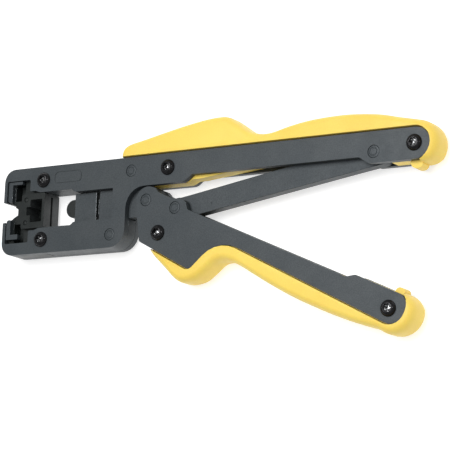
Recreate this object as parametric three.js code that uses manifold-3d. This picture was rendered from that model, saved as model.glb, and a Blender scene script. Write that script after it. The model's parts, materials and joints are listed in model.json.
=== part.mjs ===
// Hand crimping tool for modular telephone and network plugs.
//
// Two steel plates, front and back, hold a core layer between them. The upper pair of plates
// is the fixed jaw, the head and the fixed handle in one. The lower pair is the moving handle.
// Squeezing the handles straightens a toggle: the lower handle turns on the ram's tail, a long
// link ties it to the fixed handle, and the ram slides towards the die in the nose.
//
// Millimetres. The drawing frame has +X along the ram's axis from the nose to the handles,
// +Y towards the fixed handle, and Z = 0 in the middle of the core layer. The finished tool
// lies on its back: the origin is below the middle of its bounding box, +Z up.

import * as THREE from 'three';
import { mergeVertices } from 'three/addons/utils/BufferGeometryUtils.js';
import Module from 'manifold-3d';

const wasm = await Module();
wasm.setup();

// ---------------------------------------------------------------- driving dimensions

const PLATE = 3.2;                        // thickness of every steel plate
const CORE_HALF = 3.4;                    // half of the gap between the plates
const FACE = CORE_HALF + PLATE;           // a plate's outer face, from the middle
const FIXED_HALF = CORE_HALF - 0.05;      // half thickness of a fixed core piece
const RAM_HALF = CORE_HALF - 0.2;         // half thickness of the ram
const LINK_HALF = 2.7;                    // half thickness of the link
const PAWL_HALF = 2.3;                    // half thickness of the ratchet pawl
const GRIP_HALF = 8;                      // half width of the moulded grips

const FIT = 0.08;                         // radial play of a pin in its hole
const PLAY = 0.25;                        // gap between neighbours that don't slide
const BARELY = 0.05;                      // gap between faces that rest on each other

// Toggle linkage, drawn closed: ram pin, link pin and anchor pin in one line.
const ANCHOR = new THREE.Vector2(80.1, 12.9);   // the link's pivot in the fixed handle
const LINK_LENGTH = 111.1;                      // anchor pin to link pin
const CRANK_LENGTH = 18.1;                      // ram pin to link pin
const OPEN_ANGLE = THREE.MathUtils.degToRad(22.4);
const LINK_PIN_PLAY = 0.45;                     // the pivot left open has this radial play
const LINK_ANCHOR_RADIUS = 6.8;                 // link's half height at the anchor, at the link
const LINK_END_RADIUS = 5.8;                    // pin, and in between
const LINK_WAIST = 5.4;
const RAM_TAIL_RADIUS = 7.5;                    // round about the ram pin
const RAM_LEFT = -77.2;
const PUSHER_RIGHT = -79.2;
const PUSHER_LEFT = -92.4;
const PUSHER_HALF = 7.4;
const PUNCH_RADIUS = 4.7;                       // round nose in front of the pusher
const PUNCH_HALF = 2.2;
const TENON_HALF = 1.1;
const TOOTH = { count: 14, first: -88, last: 58, depth: 0.8 };   // ratchet teeth, in degrees

// Head.
const NOSE_X = -135.6;
const HEAD_HALF = 22.6;
const MOUTH_HALF = 5.2;
const JAW_END_X = -59;                    // where the lower jaw ends, ahead of the moving handle
const THROAT_Y = 7.4;                     // underside of the fixed handle above the ram's tail
const HANDLE_EDGE_Y = 10.8;               // underside of the fixed handle further back
const RECESS_LEFT = -133.8;               // stepped cut in the plates around the die
const RECESS_RIGHT = -119;
const RECESS_HALF = 16.4;
const UPPER_LEDGE = { bar: 2.6, arm: 8.8, low: 14.6, high: RECESS_HALF - PLAY, top: FACE - 0.9 };
const LOWER_LEDGE = { bar: 2.5, arm: 7.4, low: 11.6, high: 14.2, top: FACE - 0.5 };
const UPPER_LEAD = { outer: 5, inner: 4 };      // core's edge in the mouth, at the nose and the die
const LOWER_LEAD = { outer: 3.3, inner: 1.8 };  // the lower jaw stands further into the mouth
const WINDOW_HALF = 9.3;
const WINDOW_RIGHT = -67;
const SLIDE_HALF = 7.8;                   // half height of the slot that guides the ram
const SLIDE_LEFT = -90.7;
const DIE_LEFT = -130.1;                  // the die's flange between the plates
const DIE_RIGHT = -108.7;
const DIE_FLANGE_HALF = 20;
const DIE_BLOCK_LEFT = -124.2;            // the die's block in the window
const DIE_BLOCK_RIGHT = -109.7;
const DIE_TOP = FACE - 0.3;               // the block stands just below the plates' faces
const DIE_SPLIT = -1.5;                   // height of the joint between the die's halves
const TONGUE = { left: -128.5, low: -5.8, high: 6.2 };   // of the front half, towards the mouth
const POCKET = { left: -118.6, right: -111.2, half: 5.9, floor: 1.6 };   // takes the plug
const CRIMP_SLOT = { half: 7.6, thick: 0.8 };

// Handles. Both handles carry their grip on two screws, the same distance apart.
const PIN_RADIUS = 3.1;
const RIVET_RADIUS = 3.0;
const SCREW_RADIUS = 2.0;
const SCREW_HOLE = SCREW_RADIUS + 0.2;
const SCREW_HEAD_RADIUS = 3.9;
const SCREW_HEAD_HEIGHT = 2.2;
const SOCKET_RADIUS = 1.35;
const SOCKET_FLOOR = 0.8;                 // socket's floor, above the underside of the head
const END_RADIUS = 8;                     // rounded end of a handle's plates
const UPPER_GRIP_END = 11.3;              // rounded end of a grip, from near the rear screw
const LOWER_GRIP_END = 11.1;
const GRIP_THINNING = 1.7;                // lost from a grip's end by the time it meets the lug
const GRIP_GAP = 0.6;                     // groove between a grip and the plates' edge
const GRIP_ROUND = { wide: 5, deep: 3.2 };  // rounded long edges, across and into the outline
// Lugs on the inner side of the grips' ends. Shift and reach are from the rear screw.
const UPPER_LUG = { shift: 0, width: 6.4, reach: 11.4, round: 2.8 };
const LOWER_LUG = { shift: 0.8, width: 4.8, reach: 10.9, round: 2.2 };

const DIE_SCREWS = [[-110.5, 15.5], [-110.5, -15.5]];
const UPPER_RIVET = [-56.4, 15.7];
const LOWER_RIVET = [-67.9, -15.9];
const FIXED_SCREWS = [[-34.4, 15.5], [101.2, 15.2]];
// Points on the moving handle are measured from the ram pin, with the toggle closed.
const MOVING_SCREWS = [[14, -12.8], [149.6, -4.8]];
const PAWL_PIVOT = [13.2, -5.5];
const PAWL_PIN_RADIUS = 1.2;
const DOWEL_RADIUS = 1.2;
const DIE_DOWELS = [[-121.4, 6], [-121.4, -6]];

// ---------------------------------------------------------------- materials

function material(color, roughness, metalness) {
  return new THREE.MeshStandardMaterial({ color, roughness, metalness });
}

const blackenedSteel = material(0x55595d, 0.45, 0.7);
const darkSteel = material(0x3d4144, 0.4, 0.8);
const screwSteel = material(0x26282b, 0.3, 0.9);
const springSteel = material(0x9a9ea2, 0.3, 1.0);
const yellowPlastic = material(0xf6cf4c, 0.4, 0.0);

// ---------------------------------------------------------------- outlines

const ARC_STEP = THREE.MathUtils.degToRad(15);

// Corners are [x, y, radius]. Each corner with a radius becomes an arc.
function rounded(corners) {
  const points = [];
  corners.forEach(([x, y, radius = 0], i) => {
    const corner = new THREE.Vector2(x, y);
    const before = corners[(i + corners.length - 1) % corners.length];
    const after = corners[(i + 1) % corners.length];
    const back = new THREE.Vector2(before[0], before[1]).sub(corner).normalize();
    const ahead = new THREE.Vector2(after[0], after[1]).sub(corner).normalize();
    const turn = Math.PI - Math.acos(THREE.MathUtils.clamp(back.dot(ahead), -1, 1));
    if (radius === 0 || turn < 0.01) {
      points.push(corner);
      return;
    }
    const tangent = radius * Math.tan(turn / 2);
    const start = corner.clone().addScaledVector(back, tangent);
    const side = Math.sign(back.cross(ahead));
    const centre = start.clone().add(new THREE.Vector2(back.y, -back.x).multiplyScalar(-side * radius));
    const steps = Math.max(1, Math.ceil(turn / ARC_STEP));
    for (let step = 0; step <= steps; step++) {
      const angle = -side * turn * step / steps;
      points.push(start.clone().rotateAround(centre, angle));
    }
  });
  return points;
}

function circle(x, y, radius, segments = 24) {
  const points = [];
  for (let i = 0; i < segments; i++) {
    const angle = 2 * Math.PI * i / segments;
    points.push(new THREE.Vector2(x + radius * Math.cos(angle), y + radius * Math.sin(angle)));
  }
  return points;
}

function arc(x, y, radius, startDegrees, endDegrees, steps) {
  const points = [];
  for (let i = 0; i <= steps; i++) {
    const angle = THREE.MathUtils.degToRad(startDegrees + (endDegrees - startDegrees) * i / steps);
    points.push(new THREE.Vector2(x + radius * Math.cos(angle), y + radius * Math.sin(angle)));
  }
  return points;
}

function rectangle(left, bottom, right, top) {
  const corners = [[left, bottom], [right, bottom], [right, top], [left, top]];
  return corners.map(([x, y]) => new THREE.Vector2(x, y));
}

// The same outline moved outwards by a gap. Outlines run counter-clockwise.
function grown(points, gap) {
  return points.map((point, i) => {
    const before = points[(i + points.length - 1) % points.length];
    const after = points[(i + 1) % points.length];
    const into = point.clone().sub(before).normalize();
    const out = after.clone().sub(point).normalize();
    const normal = new THREE.Vector2(into.y + out.y, -into.x - out.x).normalize();
    const miter = Math.max(0.4, normal.x * into.y - normal.y * into.x);
    return point.clone().addScaledVector(normal, gap / miter);
  });
}

function mirrored(corners) {
  return corners.map(([x, y, radius = 0]) => [x, -y, radius]).reverse();
}

// ---------------------------------------------------------------- solids

// Drops a point that repeats the one before it, where one arc ends as the next starts.
function distinct(outline) {
  return outline.filter((point, i) => {
    const before = outline[(i + outline.length - 1) % outline.length];
    return point.distanceTo(before) > 0.01;
  });
}

function prism(outline, low, high, holes = []) {
  const shape = new THREE.Shape(distinct(outline));
  shape.holes = holes.map((hole) => new THREE.Path(hole));
  const geometry = new THREE.ExtrudeGeometry(shape, { depth: high - low, bevelEnabled: false });
  return geometry.translate(0, 0, low);
}

// A solid between stacked outlines that have the same number of points, lowest first.
function loft(layers) {
  const count = layers[0].points.length;
  const vertices = layers.flatMap(({ points, z }) => points.flatMap(({ x, y }) => [x, y, z]));
  const indices = [];
  for (let layer = 0; layer < layers.length - 1; layer++) {
    for (let i = 0; i < count; i++) {
      const here = layer * count + i;
      const next = layer * count + (i + 1) % count;
      indices.push(here, next, next + count, here, next + count, here + count);
    }
  }
  const top = (layers.length - 1) * count;
  for (const [a, b, c] of THREE.ShapeUtils.triangulateShape(layers[layers.length - 1].points, [])) {
    indices.push(top + a, top + b, top + c);
  }
  for (const [a, b, c] of THREE.ShapeUtils.triangulateShape(layers[0].points, [])) {
    indices.push(a, c, b);
  }
  const geometry = new THREE.BufferGeometry();
  geometry.setAttribute('position', new THREE.BufferAttribute(new Float32Array(vertices), 3));
  geometry.setIndex(indices);
  return geometry;
}

// An open line moved to its left (inwards on a counter-clockwise outline) by a distance.
function inset(line, distance) {
  return line.map((point, i) => {
    const before = line[Math.max(i - 1, 0)];
    const after = line[Math.min(i + 1, line.length - 1)];
    const along = after.clone().sub(before).normalize();
    return new THREE.Vector2(point.x - along.y * distance, point.y + along.x * distance);
  });
}

// A slab whose crown line has rounded edges; the return line closes the outline with square edges.
function softSlab(crown, returnLine, half, { wide, deep }) {
  const steps = 5;
  const upper = [];
  for (let step = 0; step <= steps; step++) {
    const angle = step / steps * Math.PI / 2;
    const points = [...inset(crown, deep * (1 - Math.cos(angle))), ...returnLine];
    upper.push({ points, z: half - wide * (1 - Math.sin(angle)) });
  }
  const lower = upper.map(({ points, z }) => ({ points, z: -z })).reverse();
  return loft([...lower, ...upper]);
}

function pin(x, y, radius, low, high) {
  return prism(circle(x, y, radius), low, high);
}

function manifold(geometry) {
  const bare = geometry.clone();
  bare.deleteAttribute('normal');
  bare.deleteAttribute('uv');
  const merged = mergeVertices(bare, 1e-5);
  const mesh = new wasm.Mesh({
    numProp: 3,
    vertProperties: new Float32Array(merged.attributes.position.array),
    triVerts: new Uint32Array(merged.index.array),
  });
  return new wasm.Manifold(mesh);
}

function fromManifold(solid) {
  const mesh = solid.getMesh();
  const geometry = new THREE.BufferGeometry();
  geometry.setAttribute('position', new THREE.BufferAttribute(new Float32Array(mesh.vertProperties), 3));
  geometry.setIndex(new THREE.BufferAttribute(new Uint32Array(mesh.triVerts), 1));
  geometry.computeVertexNormals();
  return geometry;
}

function part(name, geometry, finish) {
  const mesh = new THREE.Mesh(geometry, finish);
  mesh.name = name;
  return mesh;
}

// A button-head screw whose head rests on the front face; its end is flush with the back plate.
function screw(x, y) {
  const head = FACE + BARELY;
  const profile = [
    [0, -FACE],
    [SCREW_RADIUS, -FACE],
    [SCREW_RADIUS, head],
    [SCREW_HEAD_RADIUS, head],
    [SCREW_HEAD_RADIUS, head + 0.5],
    [SCREW_HEAD_RADIUS * 0.85, head + SCREW_HEAD_HEIGHT * 0.68],
    [SCREW_HEAD_RADIUS * 0.6, head + SCREW_HEAD_HEIGHT],
    [SOCKET_RADIUS, head + SCREW_HEAD_HEIGHT],
    [SOCKET_RADIUS, head + SOCKET_FLOOR],
    [0, head + SOCKET_FLOOR],
  ].map(([radius, z]) => new THREE.Vector2(radius, z));
  const geometry = new THREE.LatheGeometry(profile, 20);
  return geometry.rotateX(Math.PI / 2).translate(x, y, 0);
}

// The same plate on both sides of the core, with the heights given for the front one.
function frontAndBack(outline, low, high, holes = []) {
  return {
    front: prism(outline, low, high, holes),
    back: prism(outline, -high, -low, holes),
  };
}

// ---------------------------------------------------------------- fixed plates

function framePlateOutline() {
  const upperWindow = [
    [RECESS_LEFT, MOUTH_HALF],
    [RECESS_LEFT, RECESS_HALF, 0.8],
    [RECESS_RIGHT, RECESS_HALF, 0.8],
    [RECESS_RIGHT, WINDOW_HALF + 1, 0.6],
    [-115.5, WINDOW_HALF + 1],
    [-112.5, WINDOW_HALF],
    [SLIDE_LEFT - 1.8, WINDOW_HALF, 1.2],
    [SLIDE_LEFT, SLIDE_HALF, 1.2],
    [WINDOW_RIGHT, SLIDE_HALF, 0.6],
  ];
  return rounded([
    [NOSE_X, -HEAD_HALF, 6.5],
    [JAW_END_X, -HEAD_HALF, 9],
    [JAW_END_X, THROAT_Y, 10.5],
    [-24.8, THROAT_Y, 5],
    [-20.3, HANDLE_EDGE_Y, 0.8],
    [72.5, HANDLE_EDGE_Y, 2.5],
    [77.5, 7.4, 3],
    [FIXED_SCREWS[1][0] + END_RADIUS, 7.4, END_RADIUS - 0.3],
    [FIXED_SCREWS[1][0] + END_RADIUS, HEAD_HALF, END_RADIUS - 0.5],
    [NOSE_X, HEAD_HALF, 6.5],
    [NOSE_X, MOUTH_HALF, 0.6],
    ...upperWindow,
    ...mirrored(upperWindow),
    [NOSE_X, -MOUTH_HALF, 0.6],
  ]);
}

function framePlates() {
  const holes = [
    ...[...DIE_SCREWS, ...FIXED_SCREWS].map(([x, y]) => circle(x, y, SCREW_RADIUS + FIT)),
    ...[UPPER_RIVET, LOWER_RIVET].map(([x, y]) => circle(x, y, RIVET_RADIUS + FIT)),
    circle(ANCHOR.x, ANCHOR.y, PIN_RADIUS + FIT),
  ];
  return frontAndBack(framePlateOutline(), CORE_HALF, FACE, holes);
}

// ---------------------------------------------------------------- nose and die

// Each jaw's insert fills the core at the nose and shows an L-shaped ledge in the plates' recess.
// The ledge is a bar along the nose and an arm towards the die screw, from low to high.
function jawInsert(side, lead, ledge) {
  const mirror = (outline) => (side > 0 ? outline : mirrored(outline));
  const left = RECESS_LEFT + PLAY;
  const core = rounded(mirror([
    [NOSE_X, MOUTH_HALF, 0.6],
    [left, MOUTH_HALF, 0],
    [left, lead.outer, 0],
    [DIE_LEFT - 2.4, lead.outer, 0.6],
    [DIE_LEFT - PLAY, lead.inner, 0],
    [DIE_LEFT - PLAY, DIE_FLANGE_HALF + PLAY, 0],
    [DIE_RIGHT, DIE_FLANGE_HALF + PLAY, 0],
    [DIE_RIGHT, HEAD_HALF, 0],
    [NOSE_X, HEAD_HALF, 6.5],
  ]));
  const ledgeOutline = rounded(mirror([
    [left, lead.outer + 0.5, 1.2],
    [left + ledge.bar, lead.outer + 0.5, 0.4],
    [left + ledge.bar, ledge.low, 0.4],
    [left + ledge.arm, ledge.low, 0.3],
    [left + ledge.arm, ledge.high, 0.3],
    [left, ledge.high, 0.5],
  ]));
  const dieOutline = rectangle(DIE_LEFT - PLAY, -HEAD_HALF, DIE_RIGHT, HEAD_HALF);
  const dieSpace = prism(dieOutline, -FIXED_HALF - 0.1, FIXED_HALF + 0.1);
  const ledges = manifold(prism(ledgeOutline, -ledge.top, ledge.top)).subtract(manifold(dieSpace));
  return fromManifold(manifold(prism(core, -FIXED_HALF, FIXED_HALF)).add(ledges));
}

// The die is two halves, front and back. Each has a flange between the plates, held by the die
// screws, and a block that stands in the window. The front half's flange stops at the block, but
// for a tongue towards the mouth. Its pocket for the plug goes on into the back half, to a floor.
function dieFlange(front) {
  const shoulder = WINDOW_HALF + 0.5;
  const screwSide = [
    [DIE_RIGHT, -DIE_FLANGE_HALF, 0],
    [DIE_RIGHT, -shoulder, 0],
    [DIE_BLOCK_RIGHT, -shoulder, 0],
    [DIE_BLOCK_RIGHT, shoulder, 0],
    [DIE_RIGHT, shoulder, 0],
    [DIE_RIGHT, DIE_FLANGE_HALF, 0],
  ];
  const frontMouthSide = [
    [DIE_BLOCK_LEFT, DIE_FLANGE_HALF, 0.5],
    [DIE_BLOCK_LEFT, TONGUE.high, 0],
    [DIE_LEFT, TONGUE.high, 0.5],
    [DIE_LEFT, 3, 0.4],
    [TONGUE.left, 2.2, 0.4],
    [TONGUE.left, -1, 0.4],
    [DIE_LEFT, -LOWER_LEAD.inner, 0.4],
    [DIE_LEFT, TONGUE.low, 0.5],
    [DIE_BLOCK_LEFT, TONGUE.low, 0],
    [DIE_BLOCK_LEFT, -DIE_FLANGE_HALF, 0.5],
  ];
  const backMouthSide = [
    [DIE_LEFT, DIE_FLANGE_HALF, 0.5],
    [DIE_LEFT, 3, 0.5],
    [TONGUE.left, 1.3, 0.4],
    [TONGUE.left, -0.9, 0.4],
    [DIE_LEFT, -1.8, 0.4],
    [DIE_LEFT, -DIE_FLANGE_HALF, 0.5],
  ];
  return rounded([...screwSide, ...(front ? frontMouthSide : backMouthSide)]);
}

function dieHalf(front) {
  const blockTop = WINDOW_HALF - PLAY;
  const block = rounded([
    [DIE_BLOCK_LEFT, -blockTop, 1],
    [DIE_BLOCK_RIGHT, -blockTop, 0.4],
    [DIE_BLOCK_RIGHT, blockTop, 0.4],
    [DIE_BLOCK_LEFT, blockTop, 1],
  ]);
  const pocket = rounded([
    [POCKET.left, -POCKET.half, 0.6],
    [POCKET.right, -POCKET.half, 0.6],
    [POCKET.right, POCKET.half, 0.6],
    [POCKET.left, POCKET.half, 0.6],
    [POCKET.left, 2.2, 0],
    [POCKET.left - 2.4, 2.2, 0.4],
    [POCKET.left - 2.4, -2.2, 0.4],
    [POCKET.left, -2.2, 0],
  ]);
  const slotOutline = rectangle(POCKET.right - 1, -CRIMP_SLOT.half, DIE_RIGHT, CRIMP_SLOT.half);
  const flangeSpan = front ? [DIE_SPLIT + BARELY, FIXED_HALF] : [-FIXED_HALF, DIE_SPLIT];
  const blockSpan = front ? [DIE_SPLIT + BARELY, DIE_TOP] : [-DIE_TOP, DIE_SPLIT];
  const solid = manifold(prism(dieFlange(front), ...flangeSpan))
    .add(manifold(prism(block, ...blockSpan)))
    .subtract(manifold(prism(pocket, POCKET.floor - DIE_TOP, FACE)))
    .subtract(manifold(prism(slotOutline, -CRIMP_SLOT.thick, CRIMP_SLOT.thick)));
  const holes = [
    ...DIE_SCREWS.map(([x, y]) => pin(x, y, SCREW_HOLE, -FACE, FACE)),
    ...DIE_DOWELS.map(([x, y]) => pin(x, y, DOWEL_RADIUS + FIT, -FACE, FACE)),
  ];
  return fromManifold(holes.reduce((body, hole) => body.subtract(manifold(hole)), solid));
}

// ---------------------------------------------------------------- head spacers

function upperSpacer() {
  const outline = rounded([
    [DIE_RIGHT + PLAY, WINDOW_HALF, 0],
    [SLIDE_LEFT - 1.8, WINDOW_HALF, 0],
    [SLIDE_LEFT, SLIDE_HALF, 0],
    [-46.2, SLIDE_HALF, 0.5],
    [-46.2, HEAD_HALF, 0],
    [DIE_RIGHT + PLAY, HEAD_HALF, 0],
  ]);
  return prism(outline, -FIXED_HALF, FIXED_HALF, [circle(...UPPER_RIVET, RIVET_RADIUS + FIT)]);
}

function lowerSpacer() {
  const outline = rounded([
    [DIE_RIGHT + PLAY, -HEAD_HALF, 0],
    [JAW_END_X, -HEAD_HALF, 9],
    [JAW_END_X, -SLIDE_HALF, 0.4],
    [SLIDE_LEFT, -SLIDE_HALF, 0],
    [SLIDE_LEFT - 1.8, -WINDOW_HALF, 0],
    [DIE_RIGHT + PLAY, -WINDOW_HALF, 0],
  ]);
  return prism(outline, -FIXED_HALF, FIXED_HALF, [circle(...LOWER_RIVET, RIVET_RADIUS + FIT)]);
}

// ---------------------------------------------------------------- grips

// A grip is a moulding outside the plates' edge with a web between the plates.
function grip({ crown, returnLine, plateOutline, webOutline, lug, screws }) {
  const web = manifold(prism(webOutline, -FIXED_HALF, FIXED_HALF));
  const lugSolid = manifold(prism(lug, -FIXED_HALF, FIXED_HALF));
  const plates = manifold(prism(grown(distinct(plateOutline), GRIP_GAP), -GRIP_HALF - 1, GRIP_HALF + 1));
  const moulding = manifold(softSlab(crown, returnLine, GRIP_HALF, GRIP_ROUND)).subtract(plates);
  const whole = screws.reduce(
    (body, [x, y]) => body.subtract(manifold(pin(x, y, SCREW_HOLE, -GRIP_HALF, GRIP_HALF))),
    moulding.add(web).add(lugSolid),
  );
  return fromManifold(whole);
}

function smooth(points, divisions) {
  const curve = new THREE.SplineCurve(points.map(([x, y]) => new THREE.Vector2(x, y)));
  return curve.getPoints(divisions);
}

// The last part of a grip's end, which thins out towards the lug. Angles are in degrees.
function thinning(x, y, radius, from, to) {
  const steps = 4;
  const points = [];
  for (let step = 1; step <= steps; step++) {
    const share = step / steps;
    const angle = THREE.MathUtils.degToRad(from + (to - from) * share);
    const reach = radius - GRIP_THINNING * share;
    points.push(new THREE.Vector2(x + reach * Math.cos(angle), y + reach * Math.sin(angle)));
  }
  return points;
}

// The lug's outline: it points along +Y when side is 1 and along -Y when side is -1.
function lugOutline([screwX, screwY], side, { shift, width, reach, round }) {
  const left = screwX + shift - width / 2;
  const tip = screwY + side * reach;
  const root = screwY + side * (END_RADIUS - 1);
  const corners = [
    [left, root, 0],
    [left, tip, round],
    [left + width, tip, round],
    [left + width, root, 0],
  ];
  return rounded(side > 0 ? corners.reverse() : corners);
}

function upperGrip() {
  const [rearX, rearY] = FIXED_SCREWS[1];
  const endX = rearX + 0.4;
  const back = smooth([
    [-63, 20],
    [-62.9, 24.9],
    [-61.4, 28],
    [-57.8, 29.9],
    [-49.6, 31.5],
    [-39.8, 33.6],
    [-26, 36.3],
    [-13.7, 38.2],
    [-6, 38.7],
    [-1.2, 38.1],
    [3, 35.6],
    [8, 32.1],
    [12.8, 29.2],
    [18.2, 27.9],
    [24.4, 28.1],
    [33, 30.1],
    [44, 31.9],
    [56, 32.7],
    [68, 32.6],
    [82, 31.1],
    [93, 28.6],
    [endX + 2.3, rearY + UPPER_GRIP_END - 0.2],
  ], 88);
  const crown = [
    ...back,
    ...arc(endX, rearY, UPPER_GRIP_END, 70, -36, 13),
    ...thinning(endX, rearY, UPPER_GRIP_END, -36, -72),
  ].reverse();
  const returnLine = [[-57, 17], [80, 17], [96, 12]].map(([x, y]) => new THREE.Vector2(x, y));
  const linkTop = (x) => ANCHOR.y + (x - ANCHOR.x) * Math.tan(THREE.MathUtils.degToRad(6.1)) + 6.5;
  const webOutline = rounded([
    [-45.9, THROAT_Y, 1],
    [-24.8, THROAT_Y, 5],
    [-21.5, linkTop(-17), 1],
    [-17, linkTop(-17), 4],
    [70, linkTop(70), 2],
    [73, 20.8, 2],
    [88.2, 20.8, 2],
    [88.2, 7.4, 0],
    [rearX + END_RADIUS + 1, 7.4, END_RADIUS],
    [rearX + END_RADIUS + 1, HEAD_HALF + 1, END_RADIUS - 1],
    [-45.9, HEAD_HALF + 1, 0],
  ]);
  return grip({
    crown,
    returnLine,
    plateOutline: framePlateOutline(),
    webOutline,
    lug: lugOutline(FIXED_SCREWS[1], -1, UPPER_LUG),
    screws: FIXED_SCREWS,
  });
}

function lowerGrip() {
  const [rearX, rearY] = MOVING_SCREWS[1];
  const endX = rearX + 2.1;
  const back = smooth([
    [11.2, -18.2],
    [11.9, -21.6],
    [15.6, -24.2],
    [20.8, -26.2],
    [26.4, -28.4],
    [31, -30.3],
    [36, -31],
    [41, -29.1],
    [45, -25.9],
    [48.3, -20.7],
    [51.2, -15.7],
    [55.2, -13.1],
    [60, -12.4],
    [66, -12.8],
    [72, -13.7],
    [84, -15.4],
    [98, -16.8],
    [112, -17.3],
    [124, -17.3],
    [136, -16.7],
    [endX - 4, rearY - LOWER_GRIP_END + 0.5],
  ], 88);
  const crown = [
    ...back,
    ...arc(endX, rearY, LOWER_GRIP_END, -96, 28, 14),
    ...thinning(endX, rearY, LOWER_GRIP_END, 28, 76),
  ];
  const returnLine = [[146, -3], [60, -1], [40, -6], [22, -14]].map(([x, y]) => new THREE.Vector2(x, y));
  const linkBottom = (x) => 1.8 + (x - 18) * Math.tan(THREE.MathUtils.degToRad(7.8)) - 6.5;
  const webOutline = rounded([
    [7, -19.8, 1],
    [13.6, -20.4, 0],
    [14.6, -22.6, 0],
    [39.8, -24.9, 4],
    [49.7, -5.6, 16],
    [rearX + END_RADIUS + 1, rearY - END_RADIUS - 0.4, END_RADIUS],
    [rearX + END_RADIUS + 1, 3.2, 6],
    [127, 3.7, 2],
    [122.5, 1.3, 3],
    [64, linkBottom(64), 4],
    [24, linkBottom(24), 2],
    [19, -8.9, 2],
    [9, -8.9, 2],
    [7, -11, 1],
  ]);
  return grip({
    crown,
    returnLine,
    plateOutline: handlePlateOutline(),
    webOutline,
    lug: lugOutline(MOVING_SCREWS[1], 1, LOWER_LUG),
    screws: MOVING_SCREWS,
  });
}

// ---------------------------------------------------------------- moving handle

function handlePlateOutline() {
  const [rearX, rearY] = MOVING_SCREWS[1];
  return rounded([
    [5.2, -20.3, 1.5],
    [39.2, -23.8, 3.6],
    [48.9, -4.2, 17],
    [rearX + END_RADIUS + 0.4, rearY - END_RADIUS + 0.7, END_RADIUS - 0.6],
    [rearX + END_RADIUS + 0.4, 3.2, 6],
    [127, 3.9, 2],
    [122.5, 1.4, 3],
    [25.6, 3.2, 1.5],
    [22.2, 7.2, 3.2],
    [13, 5.5, 8],
    [5.4, 6, 2],
    [3.2, 7.25, 1.6],
    [-11.3, 7.25, 7.1],
  ]);
}

function handlePlates() {
  const holes = [
    ...MOVING_SCREWS.map(([x, y]) => circle(x, y, SCREW_RADIUS + FIT)),
    circle(0, 0, PIN_RADIUS + FIT),
    circle(...crankPin, PIN_RADIUS + FIT),
  ];
  return frontAndBack(handlePlateOutline(), CORE_HALF, FACE, holes);
}

// ---------------------------------------------------------------- ram, link and ratchet

// The toggle at rest, worked out from the closed line by turning the crank back.
const closedAngle = Math.asin(ANCHOR.y / (LINK_LENGTH + CRANK_LENGTH));
const crankPin = [CRANK_LENGTH * Math.cos(closedAngle), CRANK_LENGTH * Math.sin(closedAngle)];
const crankAngle = closedAngle - OPEN_ANGLE;
const linkPinY = CRANK_LENGTH * Math.sin(crankAngle);
const linkPinX = ANCHOR.x - Math.sqrt(LINK_LENGTH ** 2 - (ANCHOR.y - linkPinY) ** 2);
const ramPinX = linkPinX - CRANK_LENGTH * Math.cos(crankAngle);
const linkAngle = Math.asin((ANCHOR.y - linkPinY) / LINK_LENGTH);

// The ram's tail is round about the ram pin, with ratchet teeth cut in its edge.
function ram() {
  const spread = (TOOTH.last - TOOTH.first) / TOOTH.count;
  const teeth = [];
  for (let i = 0; i < TOOTH.count; i++) {
    const angle = THREE.MathUtils.degToRad(TOOTH.first + i * spread);
    const next = THREE.MathUtils.degToRad(TOOTH.first + (i + 0.92) * spread);
    teeth.push([angle, RAM_TAIL_RADIUS - TOOTH.depth]);
    teeth.push([next, RAM_TAIL_RADIUS]);
  }
  const tail = teeth.map(([angle, radius]) => new THREE.Vector2(
    ramPinX + radius * Math.cos(angle),
    radius * Math.sin(angle),
  ));
  const top = SLIDE_HALF - 0.2;
  const outline = [
    new THREE.Vector2(RAM_LEFT, -top),
    new THREE.Vector2(ramPinX - 2, -top),
    ...tail,
    ...arc(ramPinX, 0, RAM_TAIL_RADIUS, 62, 90, 3),
    new THREE.Vector2(ramPinX - 2, top),
    new THREE.Vector2(RAM_LEFT, top),
  ];
  const body = manifold(prism(outline, -RAM_HALF, RAM_HALF, [circle(ramPinX, 0, PIN_RADIUS + FIT)]));
  const mortiseHalf = TENON_HALF + 0.15;
  const mortise = prism(rectangle(RAM_LEFT - 1, -4.2, RAM_LEFT + 4.6, 4.2), -mortiseHalf, mortiseHalf);
  return fromManifold(body.subtract(manifold(mortise)));
}

// The pusher in front of the ram hooks into it with a thin tenon. Its round nose is thinner.
function ramPusher() {
  const block = rectangle(PUSHER_LEFT, -PUSHER_HALF, PUSHER_RIGHT, PUSHER_HALF);
  const nose = [
    new THREE.Vector2(PUSHER_LEFT + 1, -PUNCH_RADIUS),
    new THREE.Vector2(PUSHER_LEFT + 1, PUNCH_RADIUS),
    ...arc(PUSHER_LEFT - 1.5, 0, PUNCH_RADIUS, 90, 270, 14),
  ];
  const tenon = rectangle(PUSHER_RIGHT - 1, -4, RAM_LEFT + 4.3, 4);
  const solid = manifold(prism(block, -RAM_HALF, RAM_HALF))
    .add(manifold(prism(nose, -PUNCH_HALF, PUNCH_HALF)))
    .add(manifold(prism(tenon, -TENON_HALF, TENON_HALF)));
  return fromManifold(solid);
}

// The link is drawn from its anchor at the origin towards the link pin on -X.
function link() {
  const outline = [
    ...arc(0, 0, LINK_ANCHOR_RADIUS, -62, 62, 10),
    new THREE.Vector2(-12, LINK_END_RADIUS),
    new THREE.Vector2(-LINK_LENGTH + 8, LINK_WAIST),
    ...arc(-LINK_LENGTH, 0, LINK_END_RADIUS, 70, 290, 14),
    new THREE.Vector2(-LINK_LENGTH + 8, -LINK_WAIST),
    new THREE.Vector2(-12, -LINK_END_RADIUS),
  ];
  const holes = [
    circle(0, 0, PIN_RADIUS + FIT),
    circle(-LINK_LENGTH, 0, PIN_RADIUS + LINK_PIN_PLAY),
  ];
  return prism(outline, -LINK_HALF, LINK_HALF, holes);
}

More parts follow.
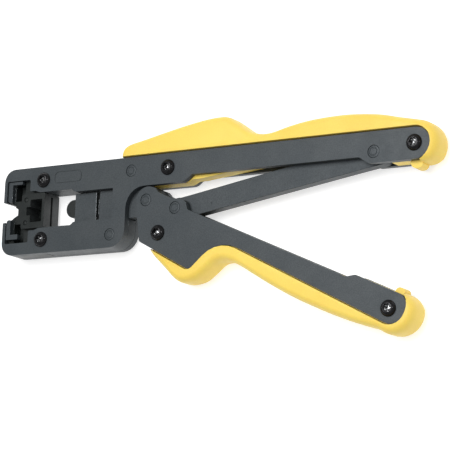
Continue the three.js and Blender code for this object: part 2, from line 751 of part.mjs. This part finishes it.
// The pawl is drawn from its pivot. Its tip stands just clear of the ratchet teeth.
function pawl() {
  const outline = [
    ...arc(0, 0, 2.3, -115, 75, 8),
    new THREE.Vector2(-4.8, 1.9),
    new THREE.Vector2(-6.3, 1.4),
    new THREE.Vector2(-6.6, 0.1),
    new THREE.Vector2(-3.6, -1.2),
  ];
  return prism(outline, -PAWL_HALF, PAWL_HALF, [circle(0, 0, PAWL_PIN_RADIUS + FIT)]);
}

// A bent leaf on the grip's web presses the pawl towards the teeth. Drawn from the pawl's pivot.
function pawlSpring() {
  const half = PAWL_HALF - 0.3;
  const outline = rounded([
    [-6, -3.3],
    [-1.4, -3.3],
    [-1.4, -2.95],
    [-5, -2.95],
    [-2.7, -2.2],
    [-2.8, -1.9],
    [-6, -3],
  ]);
  return prism(outline, -half, half);
}

// ---------------------------------------------------------------- assembly

const frame = new THREE.Group();
const plates = framePlates();
frame.add(
  part('frame_plate_front', plates.front, blackenedSteel),
  part('frame_plate_back', plates.back, blackenedSteel),
  part('upper_jaw_insert', jawInsert(1, UPPER_LEAD, UPPER_LEDGE), blackenedSteel),
  part('lower_jaw_insert', jawInsert(-1, LOWER_LEAD, LOWER_LEDGE), blackenedSteel),
  part('die_half_front', dieHalf(true), darkSteel),
  part('die_half_back', dieHalf(false), darkSteel),
  part('upper_die_dowel', pin(...DIE_DOWELS[0], DOWEL_RADIUS, -DIE_TOP, DIE_TOP), screwSteel),
  part('lower_die_dowel', pin(...DIE_DOWELS[1], DOWEL_RADIUS, -DIE_TOP, DIE_TOP), screwSteel),
  part('upper_spacer', upperSpacer(), blackenedSteel),
  part('lower_spacer', lowerSpacer(), blackenedSteel),
  part('upper_grip', upperGrip(), yellowPlastic),
  part('upper_rivet', pin(...UPPER_RIVET, RIVET_RADIUS, -FACE, FACE), blackenedSteel),
  part('lower_rivet', pin(...LOWER_RIVET, RIVET_RADIUS, -FACE, FACE), blackenedSteel),
  part('link_anchor_pin', pin(ANCHOR.x, ANCHOR.y, PIN_RADIUS, -FACE, FACE), blackenedSteel),
  part('upper_die_screw', screw(...DIE_SCREWS[0]), screwSteel),
  part('lower_die_screw', screw(...DIE_SCREWS[1]), screwSteel),
  part('upper_grip_screw_front', screw(...FIXED_SCREWS[0]), screwSteel),
  part('upper_grip_screw_rear', screw(...FIXED_SCREWS[1]), screwSteel),
);

const slide = new THREE.Group();
slide.add(
  part('ram', ram(), blackenedSteel),
  part('ram_pusher', ramPusher(), blackenedSteel),
);

const linkGroup = new THREE.Group();
linkGroup.position.set(ANCHOR.x, ANCHOR.y, 0);
linkGroup.rotation.z = linkAngle;
linkGroup.add(part('toggle_link', link(), blackenedSteel));

const handle = new THREE.Group();
handle.position.set(ramPinX, 0, 0);
handle.rotation.z = -OPEN_ANGLE;
const movingPlates = handlePlates();
handle.add(
  part('handle_plate_front', movingPlates.front, blackenedSteel),
  part('handle_plate_back', movingPlates.back, blackenedSteel),
  part('lower_grip', lowerGrip(), yellowPlastic),
  part('ram_pin', pin(0, 0, PIN_RADIUS, -FACE, FACE), blackenedSteel),
  part('link_pin', pin(...crankPin, PIN_RADIUS, -FACE, FACE), blackenedSteel),
  part('lower_grip_screw_front', screw(...MOVING_SCREWS[0]), screwSteel),
  part('lower_grip_screw_rear', screw(...MOVING_SCREWS[1]), screwSteel),
);

const ratchet = new THREE.Group();
ratchet.position.set(...PAWL_PIVOT, 0);
ratchet.add(
  part('ratchet_pawl', pawl(), darkSteel),
  part('pawl_pin', pin(0, 0, PAWL_PIN_RADIUS, -FIXED_HALF, FIXED_HALF), screwSteel),
  part('pawl_spring', pawlSpring(), springSteel),
);
handle.add(ratchet);

const drawing = new THREE.Group();
drawing.add(frame, slide, linkGroup, handle);

const group = new THREE.Group();
group.add(drawing);
const box = new THREE.Box3().setFromObject(drawing, true);
const middle = box.getCenter(new THREE.Vector3());
drawing.position.set(-middle.x, -middle.y, -box.min.z);

export default group;
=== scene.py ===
import json
import math

import bmesh
import bpy
from mathutils import Matrix, Vector


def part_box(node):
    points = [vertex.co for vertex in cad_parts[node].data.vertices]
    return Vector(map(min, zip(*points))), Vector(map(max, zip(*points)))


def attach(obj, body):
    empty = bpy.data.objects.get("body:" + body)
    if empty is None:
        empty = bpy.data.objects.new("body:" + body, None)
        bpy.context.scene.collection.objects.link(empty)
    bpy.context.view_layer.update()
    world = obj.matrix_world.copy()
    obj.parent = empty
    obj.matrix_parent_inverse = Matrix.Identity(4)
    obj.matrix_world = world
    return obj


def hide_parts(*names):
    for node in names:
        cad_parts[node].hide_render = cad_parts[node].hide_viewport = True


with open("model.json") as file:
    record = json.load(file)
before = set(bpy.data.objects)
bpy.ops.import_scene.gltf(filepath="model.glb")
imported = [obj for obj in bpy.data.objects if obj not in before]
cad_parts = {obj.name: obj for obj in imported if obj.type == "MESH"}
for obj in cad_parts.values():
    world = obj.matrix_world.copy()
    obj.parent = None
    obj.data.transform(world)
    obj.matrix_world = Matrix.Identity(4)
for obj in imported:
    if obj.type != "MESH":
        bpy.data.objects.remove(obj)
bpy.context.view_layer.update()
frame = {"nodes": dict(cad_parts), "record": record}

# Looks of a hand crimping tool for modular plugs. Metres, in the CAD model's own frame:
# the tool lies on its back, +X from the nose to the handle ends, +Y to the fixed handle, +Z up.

MM = 0.001
scene = bpy.context.scene
scene.view_settings.view_transform = "Standard"

# ------------------------------------------------------------------ camera and studio

CAMERA_FROM_PIVOT = Vector((0.44635, -0.2254, 0.8435))
CAMERA_RIGHT = Vector((0.8498, 0.0363, -0.5259)).normalized()
CAMERA_BACK = Vector((0.5222, -0.1948, 0.8303)).normalized()
CAMERA_LENS = 167.2
FLOOR_GAP = 0.1 * MM
FLOOR_SIZE = 6.0
FLOOR_COLOUR = (0.62, 0.62, 0.62, 1.0)
FLOOR_ROUGHNESS = 0.9
FLOOR_GLOW = 0.62          # the floor is a lit table, which takes most of the shadow away
WORLD_STRENGTH = 0.32
WHITE = (1.0, 1.0, 1.0, 1.0)
AIM = Vector((0.0, 0.0, 0.01))     # where every light points


def add_object(name, data):
    made = bpy.data.objects.new(name, data)
    scene.collection.objects.link(made)
    return made


def middle(node):
    low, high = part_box(node)
    return (low + high) / 2


def make_camera():
    camera = bpy.data.cameras.new("photo_camera")
    camera.lens = CAMERA_LENS
    camera.sensor_width = 36
    camera.clip_start = 0.05
    camera.clip_end = 20
    up = CAMERA_BACK.cross(CAMERA_RIGHT).normalized()
    right = up.cross(CAMERA_BACK)
    axes = Matrix((right, up, CAMERA_BACK)).transposed().to_4x4()
    placed = add_object("photo_camera", camera)
    placed.matrix_world = Matrix.Translation(middle("link_anchor_pin") + CAMERA_FROM_PIVOT) @ axes
    scene.camera = placed


def make_light(name, place, size, power):
    light = bpy.data.lights.new(name, "AREA")
    light.shape = "DISK"
    light.size = size
    light.energy = power
    placed = add_object(name, light)
    placed.location = place
    placed.rotation_mode = "QUATERNION"
    placed.rotation_quaternion = (Vector(place) - AIM).to_track_quat("Z", "Y")


def make_studio():
    world = bpy.data.worlds.new("studio")
    world.use_nodes = True
    background = world.node_tree.nodes["Background"]
    background.inputs["Color"].default_value = WHITE
    background.inputs["Strength"].default_value = WORLD_STRENGTH
    scene.world = world
    make_light("front_light", place=(-0.05, 0.35, 1.5), size=1.1, power=20.0)
    make_light("camera_side_light", place=(0.6, -0.5, 1.1), size=0.8, power=1.2)
    make_light("edge_light", place=(1.08, 0.25, 0.67), size=0.1, power=1.3)


def make_floor():
    mesh = bpy.data.meshes.new("floor")
    half = FLOOR_SIZE / 2
    corners = [(-half, -half), (half, -half), (half, half), (-half, half)]
    mesh.from_pydata([(x, y, -FLOOR_GAP) for x, y in corners], [], [(0, 1, 2, 3)])
    floor = add_object("floor", mesh)
    paint = bpy.data.materials.new("floor_paper")
    paint.use_nodes = True
    shader = paint.node_tree.nodes["Principled BSDF"]
    shader.inputs["Base Color"].default_value = FLOOR_COLOUR
    shader.inputs["Roughness"].default_value = FLOOR_ROUGHNESS
    shader.inputs["Emission Color"].default_value = WHITE
    shader.inputs["Emission Strength"].default_value = FLOOR_GLOW
    mesh.materials.append(paint)


# ------------------------------------------------------------------ materials


class Shader:
    """A Principled material with short ways to add noise to its colour, roughness and surface."""

    def __init__(self, name, metallic, roughness):
        self.material = bpy.data.materials.new(name)
        self.material.use_nodes = True
        self.tree = self.material.node_tree
        self.principled = self.tree.nodes["Principled BSDF"]
        self.set("Metallic", metallic)
        self.set("Roughness", roughness)
        self.place = self.tree.nodes.new("ShaderNodeTexCoord").outputs["Object"]

    def set(self, socket, value):
        self.principled.inputs[socket].default_value = value

    def link(self, output, socket):
        self.tree.links.new(output, self.principled.inputs[socket])

    def noise(self, size, detail=3.0):
        """Noise whose blotches are about size metres across."""
        node = self.tree.nodes.new("ShaderNodeTexNoise")
        node.inputs["Scale"].default_value = 1 / size
        node.inputs["Detail"].default_value = detail
        self.tree.links.new(self.place, node.inputs["Vector"])
        return node.outputs["Fac"]

    def ramp(self, factor, low, high, start=0.35, end=0.65):
        node = self.tree.nodes.new("ShaderNodeValToRGB")
        node.color_ramp.elements[0].position = start
        node.color_ramp.elements[1].position = end
        node.color_ramp.elements[0].color = (*low, 1)
        node.color_ramp.elements[1].color = (*high, 1)
        self.tree.links.new(factor, node.inputs["Fac"])
        return node.outputs["Color"]

    def multiply(self, first, second):
        node = self.tree.nodes.new("ShaderNodeMix")
        node.data_type = "RGBA"
        node.blend_type = "MULTIPLY"
        sockets = {s.identifier: s for s in node.inputs}
        sockets["Factor_Float"].default_value = 1.0
        self.tree.links.new(first, sockets["A_Color"])
        self.tree.links.new(second, sockets["B_Color"])
        return {s.identifier: s for s in node.outputs}["Result_Color"]

    def vary_roughness(self, factor, low, high):
        node = self.tree.nodes.new("ShaderNodeMapRange")
        node.inputs["From Min"].default_value = 0.3
        node.inputs["From Max"].default_value = 0.7
        node.inputs["To Min"].default_value = low
        node.inputs["To Max"].default_value = high
        self.tree.links.new(factor, node.inputs["Value"])
        self.link(node.outputs["Result"], "Roughness")

    def bump(self, height, depth):
        node = self.tree.nodes.new("ShaderNodeBump")
        node.inputs["Distance"].default_value = depth
        node.inputs["Strength"].default_value = 1.0
        self.tree.links.new(height, node.inputs["Height"])
        self.link(node.outputs["Normal"], "Normal")


def coated_steel(name, dark, light, roughness, depth, metallic=0.25):
    """Steel under a satin black coat: fine speckle, faint clouds, and a fine-grained surface."""
    shader = Shader(name, metallic, roughness)
    speckle = shader.ramp(shader.noise(0.5 * MM, 2.0), dark, light)
    clouds = shader.ramp(shader.noise(18 * MM, 4.0), (0.88, 0.9, 0.92), (1.08, 1.06, 1.05))
    shader.link(shader.multiply(speckle, clouds), "Base Color")
    shader.vary_roughness(shader.noise(6 * MM, 5.0), roughness - 0.05, roughness + 0.07)
    shader.bump(shader.noise(0.35 * MM, 2.0), depth)
    return shader.material


def black_oxide():
    shader = Shader("black_oxide", 0.5, 0.22)
    colour = shader.ramp(shader.noise(0.8 * MM), (0.008, 0.008, 0.009), (0.02, 0.02, 0.022))
    shader.link(colour, "Base Color")
    shader.vary_roughness(shader.noise(1.5 * MM), 0.15, 0.3)
    shader.bump(shader.noise(0.3 * MM, 2.0), 0.01 * MM)
    return shader.material


def painted_glint_socket():
    """The socket's inside: black with painted glints, bright spots that stand in for light caught in
    the socket.
    """
    shader = Shader("painted_glint_socket", 0.8, 0.2)
    glint_spots = shader.ramp(shader.noise(0.9 * MM, 2.0), (0.02, 0.02, 0.02), (0.45, 0.46, 0.47), 0.5, 0.58)
    shader.link(glint_spots, "Base Color")
    shader.bump(shader.noise(0.4 * MM, 2.0), 0.05 * MM)
    return shader.material


def moulded_yellow():
    shader = Shader("moulded_yellow", 0.0, 0.45)
    base = shader.ramp(shader.noise(30 * MM, 3.0), (0.88, 0.635, 0.115), (0.93, 0.695, 0.14))
    grain = shader.ramp(shader.noise(0.7 * MM, 2.0), (0.97, 0.96, 0.94), (1.0, 1.0, 1.0))
    shader.link(shader.multiply(base, grain), "Base Color")
    shader.vary_roughness(shader.noise(4 * MM, 4.0), 0.4, 0.5)
    shader.set("Specular IOR Level", 0.35)
    shader.set("Subsurface Weight", 0.12)
    shader.set("Subsurface Radius", (1.0, 0.5, 0.15))
    shader.set("Subsurface Scale", 1.5 * MM)
    shader.bump(shader.noise(0.6 * MM, 3.0), 0.012 * MM)
    return shader.material


def bright_spring():
    shader = Shader("bright_spring", 1.0, 0.28)
    shader.link(shader.ramp(shader.noise(1 * MM), (0.4, 0.41, 0.43), (0.55, 0.56, 0.58)), "Base Color")
    return shader.material


PLATE_STEEL = coated_steel("plate_steel", dark=(0.034, 0.042, 0.047), light=(0.052, 0.062, 0.068),
                           roughness=0.46, depth=0.02 * MM)
# Lighter, shinier steel on the eased edges: partly the black coat worn at the edges, partly a painted
# highlight that strengthens the edge glints.
EDGE_STEEL = coated_steel("edge_steel", dark=(0.07, 0.078, 0.084), light=(0.11, 0.12, 0.128),
                          roughness=0.28, depth=0.01 * MM, metallic=0.5)
DIE_STEEL = coated_steel("die_steel", dark=(0.03, 0.034, 0.034), light=(0.046, 0.052, 0.052),
                         roughness=0.42, depth=0.015 * MM)
# Very dark steel: painted shade on deep faces of the jaw inserts, the pusher's tenon, the die and the
# pawl;
# it also darkens the pusher's nose and colours the die dowels.
DARK_STEEL = coated_steel("dark_steel", dark=(0.006, 0.009, 0.009), light=(0.014, 0.018, 0.017),
                          roughness=0.4, depth=0.015 * MM)
SCREW_STEEL = black_oxide()
# The screws' socket steel carries painted glints.
SOCKET_STEEL = painted_glint_socket()
GRIP_PLASTIC = moulded_yellow()
SPRING_STEEL = bright_spring()

# ------------------------------------------------------------------ pieces from CAD nodes


def body_of(node):
    return next(body for body, nodes in frame["record"]["behaviour"]["bodies"].items() if node in nodes)


def stand_in(piece, node):
    """The piece is shown in the CAD node's place, and moves with it."""
    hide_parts(node)
    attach(piece, body_of(node))


def flat_faced(node):
    """A new mesh with the CAD node's shape, its corners welded and its flat faces whole."""
    edited = bmesh.new()
    edited.from_mesh(frame["nodes"][node].data)
    bmesh.ops.remove_doubles(edited, verts=edited.verts, dist=0.002 * MM)
    bmesh.ops.dissolve_limit(edited, angle_limit=math.radians(0.5), verts=edited.verts,
                             edges=edited.edges)
    edited.verts.index_update()
    corners = [vertex.co.copy() for vertex in edited.verts]
    faces = [[vertex.index for vertex in face.verts] for face in edited.faces]
    edited.free()
    mesh = bpy.data.meshes.new(node + "_finished")
    mesh.from_pydata(corners, [], faces)
    return mesh


def eased(node, surface, edge, width, segments=3, sharp=35, recess=None):
    """The CAD node's shape with every sharp edge rounded. Faces for which recess(centre, normal)
    is true get the very dark steel, which is painted shade where they lie deep or in a gap."""
    mesh = flat_faced(node)
    mesh.materials.append(surface)
    mesh.materials.append(edge)
    if recess:
        mesh.materials.append(DARK_STEEL)
        for face in mesh.polygons:
            if recess(face.center, face.normal):
                face.material_index = 2
    mesh.shade_smooth()
    mesh.set_sharp_from_angle(angle=math.radians(sharp))
    piece = add_object(node + "_finished", mesh)
    bevel = piece.modifiers.new("eased_edges", "BEVEL")
    bevel.width = width
    bevel.segments = segments
    bevel.limit_method = "ANGLE"
    bevel.angle_limit = math.radians(sharp)
    bevel.harden_normals = True
    bevel.miter_outer = "MITER_ARC"
    bevel.material = 1
    stand_in(piece, node)
    return piece


def prism(outline, low, high):
    """A straight prism on a counter-clockwise outline of (x, y) points."""
    count = len(outline)
    corners = [(x, y, low) for x, y in outline] + [(x, y, high) for x, y in outline]
    faces = [tuple(reversed(range(count))), tuple(range(count, 2 * count))]
    faces += [(i, (i + 1) % count, count + (i + 1) % count, count + i) for i in range(count)]
    mesh = bpy.data.meshes.new("prism")
    mesh.from_pydata(corners, [], faces)
    return mesh


def ring_prism(outer, inner, low, high):
    """A prism between two outlines that have the same number of points."""
    count = len(outer)
    corners = [(x, y, z) for z in (low, high) for line in (outer, inner) for x, y in line]
    faces = []
    for i in range(count):
        j = (i + 1) % count
        faces.append((i, j, 2 * count + j, 2 * count + i))
        faces.append((count + j, count + i, 3 * count + i, 3 * count + j))
        faces.append((2 * count + i, 2 * count + j, 3 * count + j, 3 * count + i))
        faces.append((j, i, count + i, count + j))
    mesh = bpy.data.meshes.new("ring_prism")
    mesh.from_pydata(corners, [], faces)
    return mesh


def rounded_box(left, bottom, right, top, radius):
    steps = 6
    corners = [(right - radius, bottom + radius, -90), (right - radius, top - radius, 0),
               (left + radius, top - radius, 90), (left + radius, bottom + radius, 180)]
    points = []
    for x, y, start in corners:
        for step in range(steps + 1):
            angle = math.radians(start + 90 * step / steps)
            points.append((x + radius * math.cos(angle), y + radius * math.sin(angle)))
    return points


def engrave(piece, cutter_mesh):
    """Cuts the cutter out of the piece after its edges are eased, and shades the faces flat again."""
    cutter = add_object("cutter", cutter_mesh)
    cut = piece.modifiers.new("engraving", "BOOLEAN")
    cut.operation = "DIFFERENCE"
    cut.solver = "EXACT"
    cut.object = cutter
    piece.modifiers.new("flat_faces", "WEIGHTED_NORMAL").keep_sharp = True
    depsgraph = bpy.context.evaluated_depsgraph_get()
    mesh = bpy.data.meshes.new_from_object(piece.evaluated_get(depsgraph))
    piece.modifiers.clear()
    piece.data = mesh
    bpy.data.objects.remove(cutter)


# ------------------------------------------------------------------ turned pieces


LOBE_DEPTH = 0.13          # of the socket's radius
SCREW_HEAD_HEIGHT = 2.2 * MM
SHANK_TO_HEAD = 2.0 / 3.9  # the shank's radius in head radii


def turned(node, profile, material, lobed=(), inner=None, inner_from=0):
    """A turned piece on the CAD node's own centre line. The profile is (radius, height) from the
    bottom to the top, and a row listed in lobed follows the six lobes of the screw's socket. The
    rows above inner_from are of the inner material."""
    low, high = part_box(node)
    centre = (low + high) / 2
    segments = 72
    rows = []
    vertices = []
    for index, (radius, height) in enumerate(profile):
        if radius == 0:
            rows.append([len(vertices)])
            vertices.append((centre.x, centre.y, height))
            continue
        row = []
        for step in range(segments):
            angle = 2 * math.pi * step / segments
            reach = radius * (1 + LOBE_DEPTH * math.cos(6 * angle)) if index in lobed else radius
            row.append(len(vertices))
            vertices.append((centre.x + reach * math.cos(angle),
                             centre.y + reach * math.sin(angle),
                             height))
        rows.append(row)
    faces = []
    shades = []
    for index, (lower, upper) in enumerate(zip(rows, rows[1:])):
        shades += [1 if inner and index >= inner_from else 0] * segments
        for step in range(segments):
            after = (step + 1) % segments
            if len(lower) == 1:
                faces.append((lower[0], upper[after], upper[step]))
            elif len(upper) == 1:
                faces.append((lower[step], lower[after], upper[0]))
            else:
                faces.append((lower[step], lower[after], upper[after], upper[step]))
    mesh = bpy.data.meshes.new(node + "_turned")
    mesh.from_pydata(vertices, [], faces)
    mesh.materials.append(material)
    if inner:
        mesh.materials.append(inner)
        mesh.polygons.foreach_set("material_index", shades)
    mesh.shade_smooth()
    mesh.set_sharp_from_angle(angle=math.radians(40))
    piece = add_object(node + "_turned", mesh)
    stand_in(piece, node)
    return piece


def rivet(node, material):
    """A pin peened over at both ends: a chamfered rim round a shallow ring and a flat middle."""
    low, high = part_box(node)
    radius = (high.x - low.x) / 2
    face = [
        (radius, 0.35 * MM),
        (radius - 0.3 * MM, 0.05 * MM),
        (radius - 0.9 * MM, 0.0),
        (radius - 1.15 * MM, 0.22 * MM),
        (radius - 1.4 * MM, 0.22 * MM),
        (radius - 1.6 * MM, 0.02 * MM),
        (0.0, 0.0),
    ]
    bottom = [(r, low.z + depth) for r, depth in reversed(face)]
    top = [(r, high.z - depth) for r, depth in face]
    return turned(node, bottom + top, material)


def screw(node):
    """A button-head screw: an upright rim, a flattish dome and a wide six-lobe socket."""
    low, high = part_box(node)
    head_radius = (high.x - low.x) / 2
    shank = head_radius * SHANK_TO_HEAD
    head = high.z - SCREW_HEAD_HEIGHT
    rim = 0.75 * MM
    shoulder = head_radius - 0.1 * MM
    socket = 1.75 * MM
    lip = socket + 0.45 * MM
    steps = 7
    dome = []
    for step in range(steps + 1):
        share = step / steps
        reach = shoulder + (lip - shoulder) * share
        rise = (SCREW_HEAD_HEIGHT - rim) * math.sin(share * math.pi / 2) ** 0.9
        dome.append((reach, head + rim + rise))
    profile = [
        (0.0, low.z + 0.05 * MM),
        (shank - 0.4 * MM, low.z + 0.02 * MM),
        (shank, low.z + 0.4 * MM),
        (shank, head),
        (head_radius - 0.15 * MM, head),
        (head_radius, head + 0.15 * MM),
        (head_radius, head + rim - 0.15 * MM),
        *dome,
    ]
    first_lobed = len(profile)
    profile += [
        (socket + 0.12 * MM, high.z - 0.02 * MM),
        (socket, high.z - 0.2 * MM),
        (socket, high.z - 1.35 * MM),
        (socket * 0.75, high.z - 1.4 * MM),
        (socket * 0.4, high.z - 1.2 * MM),
        (0.0, high.z - 1.1 * MM),
    ]
    # The socket's lower walls and floor take the painted glints.
    return turned(node, profile, SCREW_STEEL, lobed=range(first_lobed, first_lobed + 4),
                  inner=SOCKET_STEEL, inner_from=first_lobed + 2)


# ------------------------------------------------------------------ engravings


PANEL_LEFT = 7.1 * MM      # the panel's sides, from the upper die screw
PANEL_RIGHT = 23.6 * MM
PANEL_BELOW = 2.4 * MM
PANEL_ABOVE = 3.3 * MM
PANEL_RADIUS = 2.1 * MM
HALF_LINE = 0.25 * MM
DIMPLE_FROM_PIN = Vector((19.4, 1.4, 0)) * MM
DIMPLE_RADIUS = 0.7 * MM
ENGRAVING_DEPTH = 0.25 * MM
CUTTER_RISE = 1 * MM


def head_panel(plate):
    """A blank obround outline cut beside the upper die screw, on the front plate."""
    screw_middle = middle("upper_die_screw")
    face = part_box("frame_plate_front")[1].z
    left = screw_middle.x + PANEL_LEFT
    right = screw_middle.x + PANEL_RIGHT
    bottom = screw_middle.y - PANEL_BELOW
    top = screw_middle.y + PANEL_ABOVE
    line = HALF_LINE
    outer = rounded_box(left - line, bottom - line, right + line, top + line, PANEL_RADIUS + line)
    inner = rounded_box(left + line, bottom + line, right - line, top - line, PANEL_RADIUS - line)
    engrave(plate, ring_prism(outer, inner, face - ENGRAVING_DEPTH, face + CUTTER_RISE))


def link_dimple(link):
    """A small punch mark on the link's face, near the link pin."""
    mark = middle("link_pin") + DIMPLE_FROM_PIN
    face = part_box("toggle_link")[1].z
    outline = []
    for degrees in range(0, 360, 15):
        angle = math.radians(degrees)
        x = mark.x + DIMPLE_RADIUS * math.cos(angle)
        y = mark.y + DIMPLE_RADIUS * math.sin(angle)
        outline.append((x, y))
    engrave(link, prism(outline, face - ENGRAVING_DEPTH, face + CUTTER_RISE))


# ------------------------------------------------------------------ the tool

RIVETS = ["upper_rivet", "lower_rivet", "link_anchor_pin", "ram_pin", "link_pin", "pawl_pin"]
SCREWS = [node for node in frame["nodes"] if "screw" in node]
DOWELS = ["upper_die_dowel", "lower_die_dowel"]
GRIPS = ["upper_grip", "lower_grip"]
DIE = ["die_half_front", "die_half_back", "ratchet_pawl"]
PLAIN_STEEL = ["frame_plate_front", "frame_plate_back", "handle_plate_front", "handle_plate_back",
               "toggle_link", "ram", "upper_spacer", "lower_spacer"]
JAW_INSERTS = ["upper_jaw_insert", "lower_jaw_insert"]

LEDGE_DEPTH = 1.4 * MM     # below the front plate's middle
NOSE_LENGTH = 6.1 * MM
TENON_LENGTH = 6.3 * MM
PLATE_EASE = 0.3 * MM
FINE_EASE = 0.2 * MM
GRIP_EASE = 1.2 * MM
SPRING_EASE = 0.05 * MM


# Mask for the die and the pawl: their up-facing faces are painted shade.
def facing_up(centre, normal):
    return normal.z > 0.5


def below_ledge(centre, normal):
    """The part of a jaw insert that lies deep in the plates' recess; its very dark steel is painted
    shade.
    """
    return centre.z < middle("frame_plate_front").z - LEDGE_DEPTH


def nose_or_tenon(centre, normal):
    """The pusher's round nose and its tenon, but not its block. The tenon's very dark faces are painted
    shade in its slot; the nose is darkened too.
    """
    low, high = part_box("ram_pusher")
    return centre.x < low.x + NOSE_LENGTH or centre.x > high.x - TENON_LENGTH


make_camera()
make_studio()
make_floor()

steel = {node: eased(node, PLATE_STEEL, EDGE_STEEL, PLATE_EASE) for node in PLAIN_STEEL}
# The jaw inserts' deep faces are painted shade.
for node in JAW_INSERTS:
    eased(node, PLATE_STEEL, EDGE_STEEL, FINE_EASE, recess=below_ledge)
# The pusher's tenon is painted shade; its nose is darkened too.
eased("ram_pusher", PLATE_STEEL, EDGE_STEEL, PLATE_EASE, recess=nose_or_tenon)
head_panel(steel["frame_plate_front"])
link_dimple(steel["toggle_link"])
# The die halves and the ratchet pawl lie deep between the plates; their up-facing faces take the very
# dark steel as painted shade.
for node in DIE:
    eased(node, DIE_STEEL, DIE_STEEL, FINE_EASE, recess=facing_up)
for node in GRIPS:
    eased(node, GRIP_PLASTIC, GRIP_PLASTIC, GRIP_EASE, segments=4, sharp=50)
for node in RIVETS:
    rivet(node, PLATE_STEEL)
for node in DOWELS:
    rivet(node, DARK_STEEL)
for node in SCREWS:
    screw(node)
eased("pawl_spring", SPRING_STEEL, SPRING_STEEL, SPRING_EASE)
